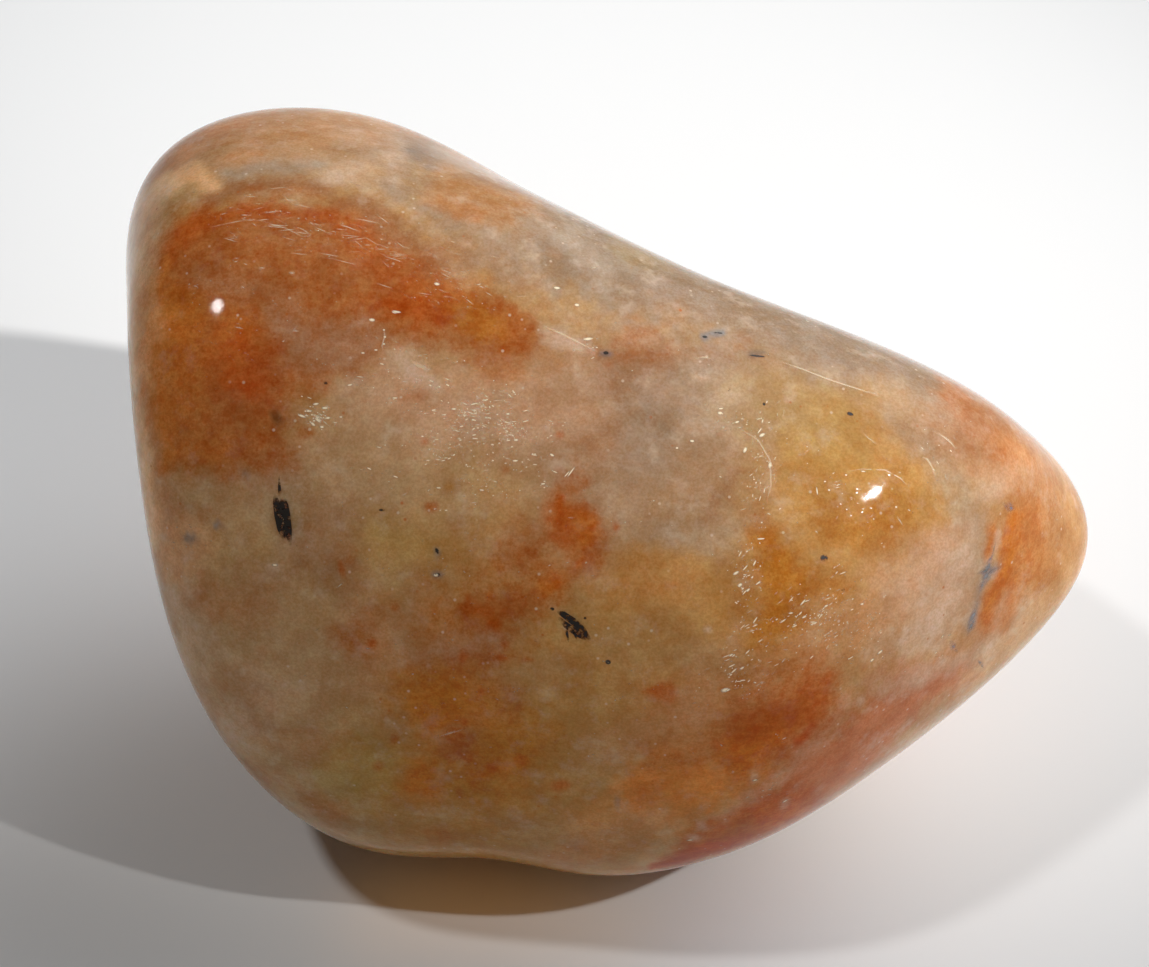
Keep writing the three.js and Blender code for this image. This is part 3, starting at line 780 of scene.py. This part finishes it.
stone = addPiece("sunstone", points, faces, stoneMaterial)
addValues(stone, "skin", "FLOAT_COLOR", "color", skin)
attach(stone, "root")
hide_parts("stone")

# Marks that lie in the skin: glints painted as pale flecks, which stand for sparkles of light off the
# stone's flakes and pits, pale hairlines, dark needles and specks, and grey cracks. Each is a sheet just
# above the stone, and its cover fades from its middle to its rim.
sheetLift = 0.004  # mm


def lifted(spots):
    raised = onSurface(spots) + sheetLift * unit(spots)
    raised[:, 2] = np.maximum(raised[:, 2], restingLevel - sheetLift)  # as flat as the resting spot
    return raised


def layOvals(centres, turns, halfLengths, halfWidths, covers, rim=8):
    bend = np.radians(turns)[:, None]
    along = np.cos(bend) * viewRight + np.sin(bend) * viewUp
    outwards = unit(centres)
    along = unit(along - (along * outwards).sum(1)[:, None] * outwards)
    across = np.cross(outwards, along)
    circle = np.arange(rim)[:, None] * 2 * math.pi / rim
    along, across = along * halfLengths[:, None], across * halfWidths[:, None]
    reach = np.cos(circle) * along[:, None] + np.sin(circle) * across[:, None]
    spots = np.concatenate([centres[:, None], centres[:, None] + reach], axis=1)
    count = len(centres)
    first = np.arange(count)[:, None] * (rim + 1)
    ring = first + 1 + np.arange(rim)
    triangles = np.stack([np.broadcast_to(first, ring.shape), ring, np.roll(ring, -1, axis=1)], axis=-1)
    cover = np.zeros((count, rim + 1))
    cover[:, 0] = covers
    return lifted(spots.reshape(-1, 3)), triangles.reshape(-1, 3), cover.ravel()


def layRibbon(stations, cover, rimCover=0.0):
    path = np.array(stations, float)
    ways = np.gradient(path[:, :2], axis=0)
    ways /= np.linalg.norm(ways, axis=1)[:, None]
    sideways = np.stack([-ways[:, 1], ways[:, 0]], axis=1) * path[:, 2:3]
    rows = [path[:, :2] - sideways, path[:, :2], path[:, :2] + sideways]
    spots = np.concatenate([surfaceUnder(row[:, 0], row[:, 1]) for row in rows])
    count = len(path)
    step = np.arange(count - 1)
    quads = np.stack([step, step + 1, step + 1 + count, step + count], -1)
    fade = np.minimum(1, np.minimum(np.arange(count), np.arange(count)[::-1]))  # none at either end
    covers = np.concatenate([rimCover * fade, fade, rimCover * fade]) * cover
    return lifted(spots), np.concatenate([quads, quads + count]), covers


def addSheets(name, sheets, material):
    spots, faceLists, covers = zip(*sheets)
    starts = np.cumsum([0] + [len(sheet) for sheet in spots[:-1]])
    faceList = [face for sheet, start in zip(faceLists, starts) for face in (sheet + start).tolist()]
    piece = addPiece(name, np.concatenate(spots), faceList, material)
    addValues(piece, "cover", "FLOAT", "value", np.concatenate(covers))
    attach(piece, "root")
    print(name, len(faceList), "faces")


def sheetMaterial(name, look):
    material, tree, shader = newMaterial(name, look)
    where = addNode(tree, "TexCoord").outputs["Object"]
    fibres = addNode(tree, "TexNoise", {"Vector": where, "Scale": look["fibreScale"], "Detail": 3})
    worn = maths(tree, "MULTIPLY_ADD", fibres.outputs["Fac"], look["wear"], look["fullness"])
    cover = addNode(tree, "Attribute", attribute_name="cover").outputs["Fac"]
    tree.links.new(maths(tree, "MULTIPLY", cover, worn, use_clamp=True), shader.inputs["Alpha"])
    return material


# Painted glints: pale flecks that stand in for sparkles of light
glintLook = {
    "colour": (1, 0.85, 0.60, 1), "roughness": 0.2, "fibreScale": 4000, "wear": 0, "fullness": 1.5,
    "halfWidth": (0.4, 0.9),  # pixels, as the lengths below
    "perClump": 4, "clumpSize": 7, "clumpSpread": 0.5,  # the spread is a share of the field's half size
    "shortest": 0.7, "lieSpread": 18, "dimmest": 0.2, "coverRange": 1.6,
    "singleCover": 1.0, "faintCover": 0.3, "hairCover": 0.3,
}
# Painted glints strewn all over, thicker in some places
strewnLook = {
    "seenCount": 120, "hiddenCount": 700, "border": 0.1,  # the lean that parts the two sides
    "tries": 8, "crowdSize": 3.0, "crowdWaver": 0.3,
    "shortest": 0.8, "lengthRange": 4, "lieSize": 6.0, "lieSway": 40, "lieSpread": 20,
    "dimmest": 0.12, "coverRange": 0.75,
}
# Fields of painted glints: x, y, half width, half height, turn, how many, lie of the glints, the longest,
# brightness
glintFields = [
    (310, 228, 130, 28, -12, 420, -12, 20, 0.26),
    (440, 272, 80, 34, -25, 260, -16, 14, 0.3),
    (250, 310, 100, 70, 0, 130, -10, 5, 0.35),
    (400, 370, 70, 34, 0, 120, -10, 7, 0.6),
    (313, 416, 16, 9, -20, 60, -15, 9, 1.3),
    (490, 425, 70, 34, -8, 480, -8, 8, 1.1),
    (480, 470, 90, 40, 0, 220, 0, 7, 0.8),
    (585, 345, 14, 9, 0, 16, 0, 7, 1),
    (762, 470, 15, 52, -10, 130, 55, 8, 0.9),
    (735, 420, 20, 12, -10, 40, 20, 7, 0.9),
    (748, 580, 12, 30, 0, 110, 40, 9, 1.1),
    (800, 620, 70, 26, 24, 260, 28, 9, 1),
    (850, 640, 60, 24, 10, 140, 20, 7, 0.9),
    (738, 675, 22, 22, 30, 90, 30, 9, 1.1),
    (860, 500, 60, 60, 0, 80, 10, 6, 0.8),
    (934, 462, 8, 30, -25, 34, -60, 8, 0.8),
    (770, 785, 60, 22, 25, 34, 25, 6, 0.8),
    (930, 650, 40, 14, 25, 24, 20, 6, 0.8),
    (600, 540, 110, 60, 0, 50, 20, 5, 0.4),
    (380, 560, 90, 50, 0, 50, 0, 5, 0.4),
    (200, 540, 50, 30, 0, 24, 0, 5, 0.4),
    (480, 690, 120, 60, 0, 60, -20, 5, 0.35),
    (640, 690, 90, 60, 0, 50, 10, 6, 0.4),
]
# Single painted glints: x, y, half length, half width and, where it isn't level, lie
singleGlints = [
    (588, 339, 6, 2, 10), (692, 441, 3, 1.5, -5), (677, 448, 2, 1.4), (740, 585, 3, 2, 40),
    (737, 422, 3, 1.4, 20), (720, 413, 3, 2), (745, 450, 4, 2, 60), (762, 435, 4, 2, 30),
    (770, 465, 4, 2, 70), (725, 690, 5, 3, 20), (817, 491, 0.8, 5), (846, 475, 1.4, 1.2),
    (889, 475, 1.5, 1.2), (896, 507, 1.4, 1.1), (829, 490, 1.4, 1.2), (857, 489, 1.3, 1.2),
    (571, 472, 8, 0.9, 55), (567, 474, 5, 0.8, 50), (690, 840, 4, 1.6), (755, 780, 3, 1.6),
    (785, 801, 4, 1.6, 60), (275, 565, 3, 1.6), (372, 320, 3, 2), (395, 312, 3, 2), (437, 284, 3, 2),
    (557, 288, 4, 2), (577, 305, 3, 2), (436, 575, 3, 2), (302, 416, 4, 1.6, -20), (309, 411, 3, 1.4),
    (316, 404, 3, 1.3, 10), (318, 420, 4, 1.8, -40), (313, 424, 3, 1.4, -40), (325, 408, 3, 1.5),
    (328, 418, 2.4, 1.5, 10), (322, 427, 2, 1.5), (341, 417, 1.8, 1), (384, 330, 1.3, 1),
    (385, 337, 1.4, 1.1), (384, 344, 1.3, 1.3), (376, 350, 2, 1), (363, 353, 2, 1), (350, 385, 3, 1, 10),
    (397, 312, 4, 1.4, -5), (395, 398, 3, 1), (508, 414, 2.4, 1.4), (474, 420, 3, 1.3, -20),
    (516, 440, 3, 1.4), (552, 455, 3, 1.4, -30), (454, 409, 3, 1.2), (736, 573, 4, 1.6, 30),
    (748, 590, 3, 1.4, 40), (731, 655, 3, 1.2, 40), (742, 668, 3, 1.4, 40), (728, 690, 3, 1.2, 30),
    (804, 617, 3, 1.2, 20), (826, 606, 3, 1.3, 20), (862, 604, 2.4, 1.2), (880, 652, 4, 2, 20),
    (872, 660, 3, 2, 20),
]
# Faint painted glints, listed as the single ones
faintGlints = [
    (290, 200, 7, 1, -15), (368, 221, 12, 1.2, -14), (302, 233, 8, 1, -10), (330, 255, 9, 1, -12),
    (262, 268, 3, 1.5), (292, 273, 3, 2), (296, 331, 3, 1.5), (420, 366, 10, 3, -30),
    (300, 254, 8, 0.8, -8), (900, 521, 7, 1.2, -45), (836, 482, 2, 1), (345, 262, 10, 0.8, -16),
    (272, 212, 8, 1.4, 10), (235, 222, 12, 0.9, 8), (385, 286, 8, 0.9, -20),
]
# Lines as stations (x, y, half width)
hairlines = [
    [(693, 359, 0.8), (703, 357, 1.3), (715, 360, 0.8)],
    [(775, 360, 0.7), (802, 369, 1), (830, 380, 1.1), (858, 389, 1), (885, 397, 0.7)],
    [(738, 428, 0.8), (758, 440, 1.3), (770, 460, 1.4), (771, 485, 1.2), (766, 505, 0.8)],
    [(920, 457, 0.8), (927, 459, 2), (932, 467, 1.1), (936, 480, 0.8)],
    [(933, 431, 0.6), (944, 437, 1.3), (951, 443, 1.6), (958, 451, 0.7)],
    [(862, 432, 0.6), (868, 438, 1.1), (878, 444, 1.7)],
    [(843, 472, 0.4), (862, 469, 0.6), (885, 470, 0.8), (900, 478, 0.7), (909, 487, 0.4)],
    [(383, 326, 0.6), (385, 336, 1.4), (382, 346, 1.2), (384, 352, 0.6)],
    [(436, 738, 0.8), (450, 733, 1.5), (466, 728, 1)],
    [(541, 326, 0.8), (560, 333, 1.6), (580, 343, 1.4), (598, 352, 0.8)],
]


def perPixel(lengths):
    return np.asarray(lengths, float) / view["pixelsPerMm"]


def fieldOfGlints(x, y, halfWidth, halfHeight, turn, count, lie, longest, brightness):
    look = glintLook
    clumps = random.normal(size=(count // look["perClump"] + 1, 2)) * look["clumpSpread"]
    away = clumps[random.integers(len(clumps), size=count)]
    away = away + random.normal(size=(count, 2)) * look["clumpSize"] / halfWidth
    bend = math.radians(turn)
    across, down = away[:, 0] * halfWidth, away[:, 1] * halfHeight
    turnedX = x + across * math.cos(bend) + down * math.sin(bend)
    turnedY = y - across * math.sin(bend) + down * math.cos(bend)
    centres = surfaceUnder(turnedX, turnedY)
    lies = lie + random.normal(size=count) * look["lieSpread"]
    halfLengths = perPixel(look["shortest"] + (longest / 2) * random.random(count) ** 4)
    halfWidths = perPixel(random.uniform(*look["halfWidth"], count))
    covers = brightness * (look["dimmest"] + look["coverRange"] * random.random(count) ** 3)
    return layOvals(centres, lies, halfLengths, halfWidths, covers)


def strewnGlints(count, side):
    look = strewnLook
    rays = unit(random.normal(size=(count * look["tries"], 3)))
    rays = rays[side * (rays @ towardsViewer - look["border"]) > 0]
    crowd = noise(rays * stoneForm["meanRadius"], look["crowdSize"], 90)
    crowd += look["crowdWaver"] * random.normal(size=len(rays))
    centres = onSurface(rays[np.argsort(-crowd)][:count])
    halfLengths = perPixel(look["shortest"] + look["lengthRange"] * random.random(count) ** 3)
    halfWidths = perPixel(random.uniform(*glintLook["halfWidth"], count))
    lies = look["lieSway"] * noise(centres, look["lieSize"], 91)
    lies += random.normal(size=count) * look["lieSpread"]
    covers = look["dimmest"] + look["coverRange"] * random.random(count) ** 2
    return layOvals(centres, lies, halfLengths, halfWidths, covers)


def listedOvals(rows, cover):
    x, y, halfLengths, halfWidths, lies = np.array([(*row, 0)[:5] for row in rows], float).T
    covers = np.full(len(rows), cover)
    return layOvals(surfaceUnder(x, y), lies, perPixel(halfLengths), perPixel(halfWidths), covers)


# the painted glints and the pale hairlines, laid as one piece
glints = [fieldOfGlints(*field) for field in glintFields]
glints.append(listedOvals(singleGlints, glintLook["singleCover"]))
glints.append(listedOvals(faintGlints, glintLook["faintCover"]))
glints.append(strewnGlints(strewnLook["seenCount"], 1))
glints.append(strewnGlints(strewnLook["hiddenCount"], -1))
glints += [layRibbon(line, glintLook["hairCover"]) for line in hairlines]
addSheets("painted_glints_and_hairlines", glints, sheetMaterial("painted glint and hairline", glintLook))

needleLook = {
    "colour": (0.025, 0.02, 0.016, 1), "roughness": 0.3, "fibreScale": 7000, "wear": 7, "fullness": -2.3,
    "cover": 1, "rimCover": 0.7, "speckCover": 1.7,
}
# Slivers of the two dark needles, as (x, y, half width)
needles = [
    [(279, 474, 0.5), (279.5, 486, 1.4), (280, 497, 2.2)],
    [(275, 495, 1.5), (276.5, 503, 3.6), (278.5, 516, 4), (281, 529, 3.6), (284, 540, 1.5)],
    [(283, 497, 2), (284, 505, 4.4), (286, 517, 4.6), (288, 530, 4), (291, 547, 0.8)],
    [(279.5, 499, 3), (281.5, 512, 5), (284.5, 527, 5), (288, 540, 2)],
    [(556, 611, 0.6), (563, 614, 3), (573, 621, 3.6), (583, 630, 3.2), (591, 641, 1.2)],
    [(558, 617, 1.2), (566, 625, 3), (577, 633, 3.4), (588, 641, 1)],
    [(566, 625, 1), (567, 634, 1.4), (569, 643, 0.6)],
    [(572, 628, 1.2), (575, 635, 1), (577, 640, 0.6)],
]
# Dark specks: x, y, half length, half width, lie
specks = [
    (552, 609, 2.6, 2), (608, 662, 3.2, 2.8), (850, 414, 3.4, 2.4, -20), (824, 558, 4.2, 3.8),
    (729, 390, 2, 1.6), (764, 404, 1.6, 2.2), (326, 383, 2, 1.8), (843, 590, 2, 1.8), (757, 356, 9, 1.3),
    (437, 551, 2, 3.4, 20), (585, 618, 1.8, 1.6), (606, 353, 3, 2), (705, 337, 3, 1.6),
    (718, 333, 5, 1.2, 5), (437, 575, 4, 2.4), (382, 510, 3, 1.4),
]
darkMarks = [layRibbon(needle, needleLook["cover"], needleLook["rimCover"]) for needle in needles]
darkMarks.append(listedOvals(specks, needleLook["speckCover"]))
addSheets("dark_needles", darkMarks, sheetMaterial("dark needle", needleLook))

crackLook = {
    "colour": (0.21, 0.24, 0.26, 1), "roughness": 0.3, "fibreScale": 5000, "wear": 3, "fullness": -0.75,
    "cover": 0.8,
}
cracks = [
    [(1002, 504, 2), (1009, 507, 6), (1016, 509, 2)],
    [(996, 540, 0.5), (992, 556, 1.5), (989, 570, 7), (983, 583, 4), (979, 594, 1)],
    [(976, 575, 1.5), (989, 570, 5), (1002, 566, 1.5)],
    [(978, 600, 1), (974, 614, 4), (971, 625, 5), (967, 637, 1)],
    [(948, 641, 2), (953, 646, 5), (959, 652, 2)],
    [(977, 660, 1), (981, 664, 3), (984, 668, 1)],
]
crackSheets = [layRibbon(crack, crackLook["cover"]) for crack in cracks]
addSheets("grey_cracks", crackSheets, sheetMaterial("grey crack", crackLook))

# Floor
floorLook = {"halfSize": 1.5, "colour": (0.8, 0.8, 0.8, 1), "roughness": 0.8}  # metres
half = floorLook["halfSize"]
corners = [(-half, -half, 0), (half, -half, 0), (half, half, 0), (-half, half, 0)]
floorMesh = bpy.data.meshes.new("floor")
floorMesh.from_pydata(corners, [], [(0, 1, 2, 3)])
floorMesh.materials.append(newMaterial("pale floor", floorLook)[0])
floor = addObject("floor", floorMesh)

# Lights, in metres and degrees: a small key lamp whose pool ends on the left, a second lamp, a soft window
# glow, and the light that has come through the stone, which falls on the floor from just under its front
lights = {
    "key": {"azimuth": -25, "elevation": 50, "distance": 0.5, "size": 0.018, "watts": 8.4,
            "colour": (1, 0.99, 0.97), "cone": 8, "aim": (0.010, 0.016, 0)},
    "second": {"azimuth": 194, "elevation": 67, "distance": 0.5, "size": 0.036, "watts": 0.47,
               "colour": (1, 0.99, 0.98), "aim": (0, 0, 0)},
    "window": {"azimuth": 35, "elevation": 35, "spread": 12, "strength": 5.2, "ambient": 0.039,
               "colour": (0.96, 0.99, 1.02, 1)},
    "ember": {"place": (-0.0032, -0.0082, -0.0082), "size": (0.009, 0.0024), "watts": 0.0000128,
              "colour": (1, 0.48, 0.10)},
}


def outward(azimuth, elevation):
    turn, rise = math.radians(azimuth), math.radians(elevation)
    return Vector((math.cos(rise) * math.cos(turn), math.cos(rise) * math.sin(turn), math.sin(rise)))


def addLight(name, kind, look, place):
    light = bpy.data.lights.new(name, kind)
    light.energy, light.color = look["watts"], look["colour"]
    holder = addObject(name, light)
    holder.location = Vector(heart) + Vector(place)
    return light, holder


def addLamp(name, kind, look):
    away = outward(look["azimuth"], look["elevation"]) * look["distance"]
    lamp, holder = addLight(name, kind, look, away)
    towards = away - Vector(look["aim"])
    holder.rotation_euler = towards.to_track_quat("Z", "Y").to_euler()
    return lamp


key = addLamp("key lamp", "SPOT", lights["key"])
key.shadow_soft_size = lights["key"]["size"] / 2
key.spot_size = math.radians(lights["key"]["cone"])
key.spot_blend = 1
second = addLamp("second lamp", "AREA", lights["second"])
second.shape, second.size = "DISK", lights["second"]["size"]
ember = addLight("ember", "AREA", lights["ember"], lights["ember"]["place"])[0]
ember.shape = "RECTANGLE"
ember.size, ember.size_y = lights["ember"]["size"]

window = lights["window"]
world = bpy.data.worlds.new("soft room")
world.use_nodes = True
tree = world.node_tree
way = addNode(tree, "TexCoord").outputs["Generated"]
towardsWindow = outward(window["azimuth"], window["elevation"])
facing = addNode(tree, "VectorMath", {0: way, 1: towardsWindow}, operation="DOT_PRODUCT").outputs["Value"]
glow = maths(tree, "POWER", maths(tree, "MAXIMUM", facing, 0), window["spread"])
background = tree.nodes["Background"]
background.inputs["Color"].default_value = window["colour"]
strength = maths(tree, "MULTIPLY_ADD", glow, window["strength"], window["ambient"])
tree.links.new(strength, background.inputs["Strength"])
scene.world = world

camera = addObject("camera", bpy.data.cameras.new("camera"))
camera.rotation_euler.x = math.pi / 2 - tilt
camera.location = heart + eye * mm
camera.data.sensor_width = view["sensorWidth"]
camera.data.lens = view["pixelsPerMm"] * view["distance"] / view["width"] * view["sensorWidth"]
camera.data.clip_start = view["clipStart"]
scene.camera = camera
